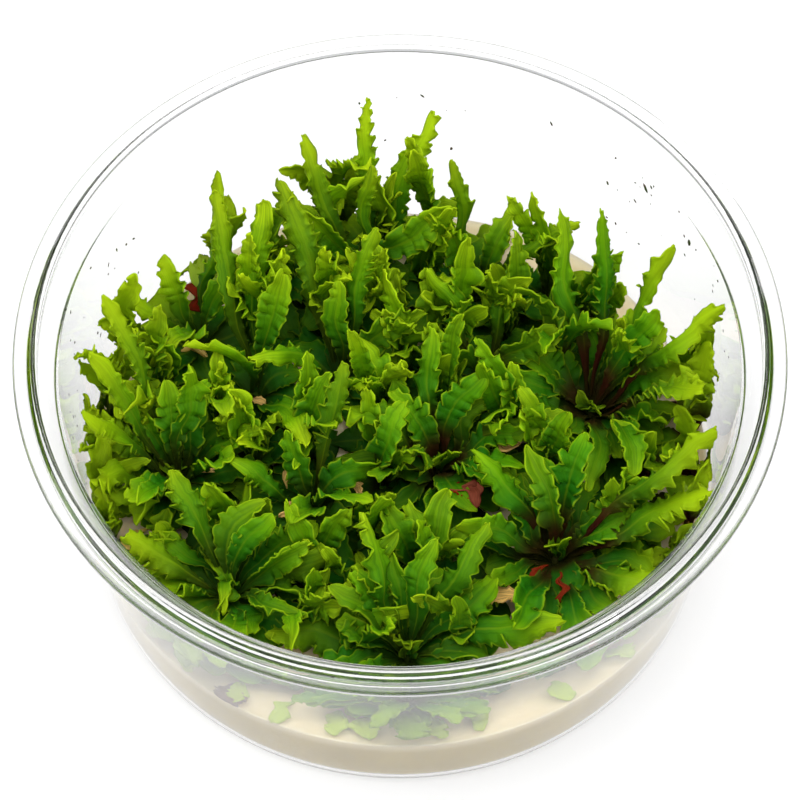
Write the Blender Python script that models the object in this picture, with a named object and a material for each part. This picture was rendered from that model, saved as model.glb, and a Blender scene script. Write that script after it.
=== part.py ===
"""Tissue-cultured downoi: young plantlets on nutrient gel in a clear round culture cup.

Metres, +Z up. The origin is the centre of the cup's base, +X is to the viewer's right and
-Y is towards the viewer. The cup is one turned piece and the gel is cast in it. Each
plantlet is a short stem with its small leaves grown on it, and its long outer leaves are
solids of their own that start just off the stem.
"""
import itertools
import math

import bmesh
import bpy
from mathutils import Matrix, Vector
from mathutils.bvhtree import BVHTree

MM = 0.001
GAP = 0.3 * MM

# Culture cup
CUP_SIDES = 36
CUP_HEIGHT = 49.0 * MM
CUP_WALL = 0.9 * MM
BASE_CORNER = 3.0 * MM
WALL_FOOT_RADIUS = 46.9 * MM
WALL_TOP_RADIUS = 49.7 * MM
WALL_TOP_HEIGHT = 44.3 * MM
LEDGE_RADIUS = 51.5 * MM
LEDGE_RISE = 1.3 * MM
FLANGE_RADIUS = 55.0 * MM
FLANGE_DROP = 0.8 * MM
FLANGE_THICKNESS = 1.2 * MM
BEAD_WIDTH = 0.9 * MM

# Nutrient gel
GEL_TOP = 13.8 * MM
GEL_MENISCUS = 0.6 * MM
GEL_MENISCUS_WIDTH = 1.5 * MM
GEL_SHRINK = 1.6 * MM

# The far edge of the gel has drawn back in waves
GEL_WAVES = 5
GEL_WAVE_START = 0.8
GEL_WAVE_SHARE = 0.4

# Stems
STEM_SIDES = 6
STEM_RADIUS = 1.3 * MM
STEM_TAPER = 0.8
STEM_DEPTH_IN_GEL = 3.0 * MM
STEM_TOP = 19.4 * MM
LOWEST_ROOT = 15.5 * MM
ROOT_SPAN = 3.0 * MM
FUSED_ROOT_INSET = 0.55

# Leaf blades: stations are sections along a leaf, and shares are of its width or length
LEAF_STATIONS = 7
FUSED_LEAF_STATIONS = 6
SMALL_LEAF_STATIONS = 5
ROOT_STATIONS = 2
LEAF_EDGES = (0, 2)
PETIOLE_SHARE = 0.17
TIP_SHARE = 0.12
WIDEST_AT = 0.55
TOOTH = 0.14
RUFFLE = 0.10
FOLD = 0.07
MIDRIB_HALF = 0.45 * MM
MIDRIB_TAPER = 0.6
LEAF_CEILING = 46.0 * MM

# The small leaves in the heart of a plantlet, in mm, each a step on from the one before
SMALL_LEAVES = 2
SMALL_LEAF = (4.6, 9.0, 3.6, 0.6)
SMALL_LEAF_STEP = (-0.46, 0.8)
LEAF_DIVERGENCE = 137.5
PLANTLET_DIVERGENCE = 40

# How a leaf may give way to its neighbours: degrees of turn and of roll about its midrib,
# change of rise, and share of its length
TURNS = (0, 5, -5, 10, -10, 16, -16, 24, -24)
ROLLS = (0, 30, -30, 60, -60)
LIFTS = (0.0, 2.0 * MM, -2.0 * MM)
TRIMS = (1.0, 0.92, 0.84, 0.75)

# What 1 degree of turn or roll, 1 mm of lift or the whole of a trim costs a variant
TURN_COST = 0.2
ROLL_COST = 0.05
LIFT_COST = 1.0
TRIM_COST = 16.0

# Each plantlet is (x, y) in mm and its leaves.
# A leaf is (degrees round from +X, reach, rise, width, bow), in mm.
# A bowed leaf starts steeper than its chord and leans out towards its tip.
# Own leaves are solids of their own. Fused leaves are grown on the stem's solid.
PLANTLETS = {
    "back": {
        "at": (-6, 28),
        "own": ((58, 18, 26, 7.4, 1.0), (76, 15, 28, 5.6, 0.5), (124, 12, 25, 6.0, 1.5),
                (102, 6, 22, 5.0, 1.0)),
        "fused": ((12, 13, 19, 6.0, 2.0), (150, 9, 17, 5.0, 1.5), (-75, 8, 11, 5.0, 2.0)),
    },
    "middle": {
        "at": (-9, 12),
        "own": ((113, 21, 25, 7.8, 2.0), (66, 12, 22, 6.0, 1.5), (-155, 12, 18, 6.0, 4.0),
                (-70, 9, 16, 5.5, 1.5)),
        "fused": ((20, 12, 14, 6.0, 2.0), (90, 6, 17, 5.0, 1.0)),
    },
    "tall": {
        "at": (-22, 10),
        "own": ((105, 20, 24, 6.2, 2.0), (90, 17, 23, 6.4, 1.5), (-62, 15, 13, 6.6, 3.0)),
        "fused": ((60, 9, 20, 5.6, 1.0), (-160, 7, 17, 5.0, 2.0), (-110, 11, 10, 5.6, 2.0)),
    },
    "back_left": {
        "at": (-31, 19),
        "own": ((75, 11, 18, 5.6, 1.5), (176, 9, 14, 5.8, 2.0)),
        "fused": ((125, 8, 13, 5.0, 1.5), (-110, 8, 12, 5.6, 2.0), (20, 8, 15, 5.0, 1.5)),
    },
    "back_right": {
        "at": (12, 28),
        "own": ((118, 6, 24, 5.4, 1.0), (8, 12, 19, 5.6, 2.5)),
        "fused": ((160, 8, 18, 5.4, 1.5), (55, 9, 11, 5.0, 1.5), (-60, 9, 13, 5.6, 2.0),
                  (-140, 7, 12, 5.0, 1.5)),
    },
    "middle_right": {
        "at": (13, 12),
        "own": ((72, 12, 17, 6.4, 1.5), (140, 10, 18, 6.0, 1.5)),
        "fused": ((10, 11, 12, 6.0, 2.0), (-60, 9, 10, 5.6, 2.0), (-150, 8, 13, 5.6, 2.0)),
    },
    "right": {
        "at": (29, 7),
        "own": ((105, 18, 26, 6.2, 1.0), (88, 15, 27, 5.4, 1.0), (53, 17, 24, 5.8, 1.0),
                (10, 15, 25, 8.0, 1.0), (-17, 15, 23, 8.0, 1.0)),
        "fused": ((150, 13, 8, 6.6, 1.0), (30, 10, 19, 5.4, 1.0), (-70, 10, 4, 6.0, 0.5),
                  (-120, 8, 5, 5.0, 1.0)),
    },
    "front_right": {
        "at": (23, -18),
        "own": ((-3, 19, 19, 8.0, 1.0), (17, 20, 25, 7.2, 1.5), (-24, 17, 11, 8.0, 1.0),
                (140, 13, 14, 6.6, 2.5), (-146, 15, 5, 7.4, 1.0)),
        "fused": ((75, 11, 17, 6.0, 1.5), (-50, 14, 3, 7.0, 0.5), (-100, 12, 2, 6.4, 0.5),
                  (110, 8, 15, 5.0, 1.5)),
    },
    "left": {
        "at": (-33, -5),
        "own": ((122, 16, 27, 5.4, 1.0), (150, 10, 25, 5.6, 1.0), (-152, 11, 13, 7.2, 0.5),
                (178, 10, 23, 6.4, 1.0), (12, 11, 12, 5.6, 2.5)),
        "fused": ((75, 8, 18, 5.6, 1.0), (-118, 11, 7, 6.8, 1.0), (100, 8, 14, 5.0, 1.5),
                  (-60, 9, 4, 5.6, 1.0)),
    },
    "middle_left": {
        "at": (-13, -10),
        "own": ((76, 12, 19, 6.4, 1.5), (165, 10, 12, 6.0, 2.5)),
        "fused": ((-30, 9, 12, 5.6, 2.0), (-100, 8, 12, 5.2, 1.5), (120, 7, 12, 5.0, 1.5),
                  (20, 9, 8, 5.6, 2.0)),
    },
    "centre": {
        "at": (6, -3),
        "own": ((172, 15, 15, 7.0, 4.0), (-125, 7, 17, 7.0, 1.5), (95, 12, 17, 6.4, 1.5),
                (12, 17, 11, 6.0, 3.0)),
        "fused": ((55, 9, 15, 5.6, 1.5), (-20, 12, 9, 5.6, 2.0), (-70, 10, 7, 6.0, 1.5),
                  (140, 8, 13, 5.6, 1.5)),
    },
    "front": {
        "at": (1, -34),
        "own": ((4, 20, 9, 7.0, 2.0), (172, 18, 4, 8.0, 1.0), (112, 13, 15, 6.6, 1.5),
                (50, 15, 15, 7.0, 2.5)),
        "fused": ((80, 11, 16, 5.4, 1.0), (148, 12, 9, 6.0, 1.5), (26, 14, 9, 5.6, 1.5),
                  (-100, 8, 0, 6.0, 0.5), (-40, 8, 0, 5.4, 0.5), (-150, 9, 0, 5.4, 0.5)),
    },
    "front_left": {
        "at": (-25, -24),
        "own": ((166, 13, 11, 7.4, 1.5), (122, 13, 13, 7.0, 1.5), (12, 14, 8, 6.6, 2.0)),
        "fused": ((75, 10, 12, 6.0, 2.0), (-35, 12, 1, 6.4, 0.5), (-95, 10, 1, 6.0, 0.5),
                  (-160, 9, 3, 6.0, 0.5), (45, 9, 12, 5.0, 2.0)),
    },
}

# Linear base colour, roughness, metallic
CUP_FINISH = ((0.92, 0.94, 0.94, 1.0), 0.08, 0.0)
GEL_FINISH = ((0.68, 0.58, 0.42, 1.0), 0.3, 0.0)
LEAF_FINISH = ((0.12, 0.33, 0.01, 1.0), 0.42, 0.0)
CROWN_FINISH = ((0.07, 0.22, 0.01, 1.0), 0.45, 0.0)


def clear_scene():
    """Remove the objects that a new file starts with."""
    for item in list(bpy.data.objects):
        bpy.data.objects.remove(item, do_unlink=True)


def finish_material(name, finish):
    """A Principled material of one colour, roughness and metallic value."""
    colour, roughness, metallic = finish
    material = bpy.data.materials.new(name)
    material.use_nodes = True
    shader = material.node_tree.nodes["Principled BSDF"]
    shader.inputs["Base Color"].default_value = colour
    shader.inputs["Roughness"].default_value = roughness
    shader.inputs["Metallic"].default_value = metallic
    return material


def add_object(name, bm, finish, sharp_degrees=40):
    """Turn a bmesh into a named, smooth-shaded object with its own material."""
    bmesh.ops.recalc_face_normals(bm, faces=bm.faces[:])
    mesh = bpy.data.meshes.new(name)
    bm.to_mesh(mesh)
    bm.free()
    mesh.shade_smooth()
    mesh.set_sharp_from_angle(angle=math.radians(sharp_degrees))
    mesh.materials.append(finish_material(name + "_finish", finish))
    item = bpy.data.objects.new(name, mesh)
    bpy.context.collection.objects.link(item)
    return item


def combine(item, tool, operation):
    """Join or cut an object with another one, exactly, and use the other one up."""
    step = item.modifiers.new(operation.lower(), "BOOLEAN")
    step.operation = operation
    step.solver = "EXACT"
    step.object = tool
    graph = bpy.context.evaluated_depsgraph_get()
    result = bpy.data.meshes.new_from_object(item.evaluated_get(graph))
    item.modifiers.clear()
    item.data = result
    bpy.data.objects.remove(tool, do_unlink=True)


def linked_verts(vert):
    """All the vertices that edges join to this one."""
    found = {vert}
    waiting = [vert]
    while waiting:
        for edge in waiting.pop().link_edges:
            fresh = set(edge.verts) - found
            found |= fresh
            waiting += fresh
    return found


def fill_pockets(item):
    """Fill the tiny sealed pockets that crossing leaves leave at a stem."""
    bm = bmesh.new()
    bm.from_mesh(item.data)
    shells = []
    left = set(bm.verts)
    while left:
        shells.append(linked_verts(min(left, key=lambda vert: vert.index)))
        left -= shells[-1]
    outside = max(shells, key=len)
    inside = [vert for vert in bm.verts if vert not in outside]
    bmesh.ops.delete(bm, geom=inside, context="VERTS")
    bm.to_mesh(item.data)
    bm.free()


def corner(centre_r, centre_z, radius, start, end, steps=2):
    """Points of a rounded corner on a turned outline, angles in degrees from +r."""
    angles = [math.radians(start + (end - start) * i / steps) for i in range(steps + 1)]
    return [(centre_r + radius * math.cos(a), centre_z + radius * math.sin(a)) for a in angles]


def turned(outline, sides):
    """Spin an outline of (radius, height) points about Z into a closed body."""
    bm = bmesh.new()
    points = [bm.verts.new((radius, 0.0, height)) for radius, height in outline]
    edges = [bm.edges.new(pair) for pair in zip(points, points[1:])]
    bmesh.ops.spin(bm, geom=points + edges, axis=(0, 0, 1), cent=(0, 0, 0),
                   steps=sides, angle=2 * math.pi, use_merge=True)
    bmesh.ops.remove_doubles(bm, verts=bm.verts[:], dist=0.001 * MM)
    return bm


def wall_inner_radius(height):
    """Inside radius of the drafted wall at a height."""
    share = (height - BASE_CORNER) / (WALL_TOP_HEIGHT - BASE_CORNER)
    outer = WALL_FOOT_RADIUS + (WALL_TOP_RADIUS - WALL_FOOT_RADIUS) * share
    return outer - CUP_WALL


def cup_outline():
    """Outline of the cup: up the outside, over the flange and bead, and down the inside."""
    ledge_top = WALL_TOP_HEIGHT + LEDGE_RISE
    flange_top = CUP_HEIGHT - FLANGE_DROP
    rim_outer = LEDGE_RADIUS + CUP_WALL
    inner_corner = BASE_CORNER - CUP_WALL
    outside = [(0.0, 0.0)]
    outside += corner(WALL_FOOT_RADIUS - BASE_CORNER, BASE_CORNER, BASE_CORNER, -90, 0)
    outside += [(WALL_TOP_RADIUS, WALL_TOP_HEIGHT - CUP_WALL),
                (rim_outer, ledge_top - CUP_WALL),
                (rim_outer, flange_top - FLANGE_THICKNESS),
                (FLANGE_RADIUS, flange_top - FLANGE_THICKNESS),
                (FLANGE_RADIUS, flange_top),
                (rim_outer + BEAD_WIDTH / 2, flange_top),
                (rim_outer, CUP_HEIGHT)]
    inside = [(LEDGE_RADIUS, CUP_HEIGHT),
              (LEDGE_RADIUS, ledge_top),
              (WALL_TOP_RADIUS - CUP_WALL, WALL_TOP_HEIGHT)]
    inside += corner(WALL_FOOT_RADIUS - BASE_CORNER, BASE_CORNER, inner_corner, 0, -90)
    inside += [(0.0, CUP_WALL)]
    return outside + inside


def build_cup():
    """The clear cup with its lid ledge, upright rim, bead and flange."""
    return add_object("culture_cup", turned(cup_outline(), CUP_SIDES), CUP_FINISH)


def gel_edge_pull(angle):
    """How far the gel has drawn back from the wall, most at the far side."""
    far_side = max(0.0, math.sin(angle)) ** 2
    wave = math.sin(GEL_WAVES * angle + GEL_WAVE_START)
    waves = 1 - GEL_WAVE_SHARE + GEL_WAVE_SHARE * wave
    return GEL_SHRINK * far_side * waves


def build_gel():
    """The cast gel, drawn back from the wall at the far side, with a socket for each stem."""
    floor = CUP_WALL + GAP
    side = BASE_CORNER - CUP_WALL - GAP
    outline = [(0.0, floor)]
    outline += corner(WALL_FOOT_RADIUS - BASE_CORNER, BASE_CORNER, side, -90, 0)
    edge = wall_inner_radius(GEL_TOP) - GAP
    outline += [(edge, GEL_TOP + GEL_MENISCUS),
                (edge - GEL_MENISCUS_WIDTH, GEL_TOP),
                (0.0, GEL_TOP)]
    bm = turned(outline, CUP_SIDES)
    for vert in bm.verts:
        if vert.co.z > BASE_CORNER and vert.co.xy.length > STEM_RADIUS:
            angle = math.atan2(vert.co.y, vert.co.x)
            vert.co.xy -= vert.co.xy.normalized() * gel_edge_pull(angle)
    gel = add_object("nutrient_gel", bm, GEL_FINISH)
    sockets = bmesh.new()
    depth = STEM_DEPTH_IN_GEL + GAP
    for plantlet in PLANTLETS.values():
        place = Matrix.Translation(stem_point(plantlet, GEL_TOP))
        bmesh.ops.create_cone(sockets, cap_ends=True, segments=STEM_SIDES,
                              radius1=STEM_RADIUS + GAP, radius2=STEM_RADIUS + GAP,
                              depth=2 * depth, matrix=place)
    combine(gel, add_object("stem_sockets", sockets, GEL_FINISH), "DIFFERENCE")
    return gel


def stem_point(plantlet, height):
    """A point on a stem's axis."""
    x, y = plantlet["at"]
    return Vector((x * MM, y * MM, height))


def leaf_outline(share):
    """Half-width of a leaf along its length, as a share of its widest."""
    spread = math.sin(min(share / WIDEST_AT, 1.0) * math.pi / 2) ** 1.4
    opening = PETIOLE_SHARE + (1 - PETIOLE_SHARE) * spread
    closing = 1.0 - max((share - WIDEST_AT) / (1 - WIDEST_AT), 0.0) ** 2
    return max(opening * closing, TIP_SHARE)


def leaf_sections(root, leaf, stations, clearance=0.0):
    """Four-point sections of a ruffled, toothed leaf from its root to its tip."""
    degrees, reach, rise, width, bow, roll = leaf
    turn = math.radians(degrees)
    out = Vector((math.cos(turn), math.sin(turn), 0.0))
    level = Vector((-math.sin(turn), math.cos(turn), 0.0))
    chord = out * reach + Vector((0.0, 0.0, rise))
    crest = (level.cross(chord)).normalized() * (-2 * bow)
    sections = []
    for i in range(stations):
        share = i / (stations - 1)
        centre = root + chord * share + crest * (2 * share * (1 - share))
        along = (chord + crest * (2 - 4 * share)).normalized()
        twist = Matrix.Rotation(math.radians(roll) * min(1.0, 3 * share), 3, along)
        side = twist @ level
        normal = along.cross(side)
        tooth = 1 if i % 2 else -1
        grown = min(1.0, 2.5 * share)
        outline = leaf_outline(share)
        half = width / 2 * outline * (1 + TOOTH * tooth * grown) + clearance
        ruffle = RUFFLE * width * tooth * grown * outline
        fold = FOLD * width * grown * outline
        rib = MIDRIB_HALF * (1 - MIDRIB_TAPER * share) + clearance
        sections.append((centre + side * half + normal * (fold + ruffle),
                         centre + normal * rib,
                         centre - side * half + normal * (fold - ruffle),
                         centre - normal * rib))
    return sections


def extruded(sections):
    """A closed leaf made by extruding a face from section to section.

    Each ruffled strip is split the same way above and below, from the leaf's edge, so its
    two faces stay apart.
    """
    bm = bmesh.new()
    bmesh.ops.create_circle(bm, cap_ends=True, segments=len(sections[0]), radius=MM)
    face = bm.faces[:][0]
    ring = place_ring(face, sections[0])
    splits = []
    for number, section in enumerate(sections[1:]):
        grown = bmesh.ops.extrude_face_region(bm, geom=[face])["geom"]
        if number:
            bmesh.ops.delete(bm, geom=[face], context="FACES_ONLY")
        face = [piece for piece in grown if isinstance(piece, bmesh.types.BMFace)][0]
        last_ring = ring
        ring = place_ring(face, section)
        for edge in LEAF_EDGES:
            splits.append((last_ring[edge], ring[edge - 1]))
            splits.append((last_ring[edge], ring[edge + 1]))
    for pair in splits:
        bmesh.ops.connect_verts(bm, verts=pair)
    return bm


def place_ring(face, section):
    """Move a face's corners to a section's points, and return them in the section's order."""
    ring = face.verts[:]
    for vert, point in zip(ring, section):
        vert.co = point
    return ring


def in_metres(leaf):
    """A leaf's lengths in metres."""
    degrees, reach, rise, width, bow = leaf
    return degrees, reach * MM, rise * MM, width * MM, bow * MM


def variants(leaf):
    """The leaf as drawn, then turned, rolled, lifted or trimmed more and more."""
    degrees, reach, rise, width, bow = leaf
    choices = []
    for turn, roll, lift, trim in itertools.product(TURNS, ROLLS, LIFTS, TRIMS):
        cost = TURN_COST * abs(turn) + ROLL_COST * abs(roll)
        cost += LIFT_COST * abs(lift) / MM + TRIM_COST * (1 - trim)
        changed = (degrees + turn, reach * trim, rise * trim + lift, width, bow, roll)
        choices.append((cost, changed))
    return [changed for cost, changed in sorted(choices, key=lambda pair: pair[0])]


def leaf_root(plantlet, leaf, height, inside):
    """Where a leaf leaves the stem: within it when fused, or just off it."""
    turn = math.radians(leaf[0])
    out = Vector((math.cos(turn), math.sin(turn), 0.0))
    offset = FUSED_ROOT_INSET * STEM_RADIUS if inside else STEM_RADIUS + GAP + MIDRIB_HALF
    return stem_point(plantlet, height) + out * offset


def fits_in_cup(sections):
    """Whether a leaf is clear of the wall, over the gel and below the rim."""
    for point in (corner_point for section in sections for corner_point in section):
        if point.xy.length > wall_inner_radius(point.z) - 2 * GAP:
            return False
        if not GEL_TOP + GEL_MENISCUS < point.z < LEAF_CEILING:
            return False
    return True


def surface(sections):
    """A body's surface, for testing where bodies meet."""
    bm = extruded(sections)
    tree = BVHTree.FromBMesh(bm)
    bm.free()
    return tree


def touches(sections, placed):
    """Whether a body meets any body already placed."""
    tree = surface(sections)
    return any(tree.overlap(other) for other in placed)


def grow_leaf(plantlet, leaf, height, placed, stations=LEAF_STATIONS, kin=None):
    """The sections of the first variant of a leaf that clears the cup and its neighbours.

    A leaf with kin is fused: it starts inside the stem, and past its root it stays clear
    of the other fused leaves of its plantlet.
    """
    fused = kin is not None
    for choice in variants(in_metres(leaf)):
        root = leaf_root(plantlet, choice, height, fused)
        sections = leaf_sections(root, choice, stations)
        if not fits_in_cup(sections):
            continue
        envelope = leaf_sections(root, choice, stations, clearance=GAP)
        if touches(envelope, placed):
            continue
        if fused and touches(envelope[ROOT_STATIONS:], kin):
            continue
        return sections
    return None


def build_stem(plantlet):
    """A short stem from its socket in the gel up to the crown."""
    foot = GEL_TOP - STEM_DEPTH_IN_GEL
    middle = (foot + STEM_TOP) / 2
    bm = bmesh.new()
    bmesh.ops.create_cone(bm, cap_ends=True, segments=STEM_SIDES, radius1=STEM_RADIUS,
                          radius2=STEM_TAPER * STEM_RADIUS, depth=STEM_TOP - foot,
                          matrix=Matrix.Translation(stem_point(plantlet, middle)))
    return bm


def small_leaves(number):
    """The short crisped leaves in the heart of a plantlet."""
    reach, rise, width, bow = SMALL_LEAF
    reach_step, rise_step = SMALL_LEAF_STEP
    leaves = []
    for i in range(SMALL_LEAVES):
        degrees = LEAF_DIVERGENCE * i + PLANTLET_DIVERGENCE * number
        leaves.append((degrees, reach + reach_step * i, rise + rise_step * i, width, bow))
    return leaves


def root_heights(leaves):
    """Where leaves start up the stem: the flatter a leaf, the lower its root."""
    by_slope = sorted(leaves, key=lambda leaf: leaf[2] / leaf[1])
    step = ROOT_SPAN / (len(leaves) - 1)
    return [LOWEST_ROOT + step * by_slope.index(leaf) for leaf in leaves]


def build_own_leaves(name, plantlet, placed):
    """The long outer leaves of a plantlet, each a solid of its own."""
    leaves = plantlet["own"]
    for number, (leaf, height) in enumerate(zip(leaves, root_heights(leaves))):
        sections = grow_leaf(plantlet, leaf, height, placed)
        if sections is None:
            continue
        placed.append(surface(sections))
        add_object(f"{name}_leaf_{number + 1}", extruded(sections), LEAF_FINISH)


def build_crown(name, number, plantlet, stem, placed):
    """A plantlet's stem joined with its fused and small leaves."""
    crown = add_object(f"{name}_plantlet", stem, CROWN_FINISH)
    fused = plantlet["fused"]
    wanted = [(leaf, height, FUSED_LEAF_STATIONS)
              for leaf, height in zip(fused, root_heights(fused))]
    top = LOWEST_ROOT + ROOT_SPAN
    wanted += [(leaf, top, SMALL_LEAF_STATIONS) for leaf in small_leaves(number)]
    kin = []
    surfaces = []
    for leaf, height, stations in wanted:
        sections = grow_leaf(plantlet, leaf, height, placed, stations, kin)
        if sections is None:
            continue
        combine(crown, add_object("fused_leaf", extruded(sections), CROWN_FINISH), "UNION")
        kin.append(surface(sections[ROOT_STATIONS:]))
        surfaces.append(surface(sections))
    fill_pockets(crown)
    return surfaces


def build_plantlets():
    """Stems first, then the leaves that stand alone, then those fused to the stems."""
    stems = {name: build_stem(plantlet) for name, plantlet in PLANTLETS.items()}
    stem_surfaces = {name: BVHTree.FromBMesh(bm) for name, bm in stems.items()}
    placed = list(stem_surfaces.values())
    for name, plantlet in PLANTLETS.items():
        build_own_leaves(name, plantlet, placed)
    for number, (name, plantlet) in enumerate(PLANTLETS.items()):
        others = [tree for tree in placed if tree is not stem_surfaces[name]]
        placed += build_crown(name, number, plantlet, stems[name], others)


def main():
    """Build the cup, its gel and the plantlets."""
    clear_scene()
    build_cup()
    build_gel()
    build_plantlets()


main()
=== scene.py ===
"""Looks of the tissue-cultured downoi: crisped leaves, milky gel and the clear cup.

Metres, +Z up. +X is to the viewer's right and -Y is towards the viewer. Every long leaf and
every plantlet is rebuilt finely where its CAD node is. The side shoots and lower leaves that
fill the mat belong to the plantlet that is nearest.
"""

import math
import random
from collections import namedtuple

import bmesh
import bpy
import numpy as np
from mathutils import Matrix, Vector, noise


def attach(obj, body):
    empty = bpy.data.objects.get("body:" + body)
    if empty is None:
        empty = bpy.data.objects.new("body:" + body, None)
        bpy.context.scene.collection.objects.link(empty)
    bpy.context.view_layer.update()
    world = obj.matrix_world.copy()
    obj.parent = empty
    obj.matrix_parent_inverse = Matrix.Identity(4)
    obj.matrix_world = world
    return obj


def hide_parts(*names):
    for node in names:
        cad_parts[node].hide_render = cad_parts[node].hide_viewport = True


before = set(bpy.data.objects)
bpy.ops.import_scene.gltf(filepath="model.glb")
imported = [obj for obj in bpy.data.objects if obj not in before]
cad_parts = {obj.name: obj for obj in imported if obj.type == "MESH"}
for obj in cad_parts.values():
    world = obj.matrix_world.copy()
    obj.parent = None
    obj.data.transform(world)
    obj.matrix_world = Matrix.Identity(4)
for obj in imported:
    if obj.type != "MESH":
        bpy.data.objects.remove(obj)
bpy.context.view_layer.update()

MM = 0.001
GAP = 0.3 * MM

# Cup, as the part has it
CUP_SIDES = 144
CUP_HEIGHT = 49.0 * MM
CUP_WALL = 0.9 * MM
BASE_CORNER = 3.0 * MM
BASE_RISE = 0.35 * MM
BASE_RING_RADIUS = 40.5 * MM
WALL_FOOT_RADIUS = 46.9 * MM
WALL_TOP_RADIUS = 49.7 * MM
WALL_TOP_HEIGHT = 44.3 * MM
LEDGE_RADIUS = 51.5 * MM
LEDGE_RISE = 1.3 * MM
FLANGE_RADIUS = 55.0 * MM
FLANGE_DROP = 0.8 * MM
FLANGE_THICKNESS = 1.2 * MM
FLANGE_LIP = 1.0 * MM
FLANGE_GROOVE = 0.22 * MM
BEAD_WIDTH = 0.9 * MM

# Gel
GEL_TOP = 13.8 * MM
GEL_MENISCUS = 0.6 * MM
GEL_MENISCUS_WIDTH = 1.5 * MM
GEL_SHRINK = 1.6 * MM
GEL_WAVES = 0.32 * MM
GEL_GRAIN = 0.12 * MM
GEL_WAVES_PER_M = 110
GEL_SIDES = 144
GEL_RINGS = 26

# Dried bits on the wall: large ones as (degrees round, height, length, width) in mm, and the
# sectors that have fine ones, as (from, to, how many)
LARGE_SPECKS = ((41, 40.5, 2.0, 0.8), (28, 39.5, 1.6, 0.9), (86, 41.0, 1.1, 0.4),
                (154, 36.0, 1.0, 0.35), (62, 41.5, 1.2, 0.4))
SPECKLED_SECTORS = ((145, 190, 30), (5, 52, 34), (70, 110, 8))

# Leaves
LEAF_THICKNESS = 0.22 * MM
LEAF_ROWS_PER_MM = 3.3
LONG_LEAF_COLUMNS = 8
TUFT_LEAF_COLUMNS = 4
PATH_POINTS = 7
LOBE_PITCH = 2.5 * MM
TOOTH_PITCH = 1.5 * MM
MOST_SWAY = 1.3 * MM
RIB_DEPTH = 0.25 * MM
LEAF_CEILING = 46.6 * MM
LEAF_TO_WALL = 0.45 * MM
LEAF_OVER_GEL = 0.25 * MM
ROOT_IN_GEL = 0.6 * MM
STEM_RADIUS = 1.15 * MM
STEM_FOOT = 11.0 * MM
CROWN_TOP = 17.0 * MM
LOWEST_ROOT = 15.5 * MM
ROOT_SPAN = 3.0 * MM
ROOT_SHARE = 0.1
GOLDEN_TURN = 137.5

# Shares of a leaf's width: how deep its lobes and teeth are cut, how far its margin lifts and
# leans forward, and how wide its stalk, its tip and its rib are
LOBE_DEPTH = 0.24
TOOTH_DEPTH = 0.17
CREST_LIFT = 0.19
TOOTH_LIFT = 0.08
MARGIN_LEAN = 0.10
STALK_WIDTH = 0.17
TIP_WIDTH = 0.10
RIB_WIDTH = 0.16

# How far a shorter leaf's tip is bent over, in mm, and how many of them are strongly bent
STRONG_HOOK = (2.5, 5.0)
SLIGHT_HOOK = (-0.5, 1.3)
HOOKED_SHARE = 0.3

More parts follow.
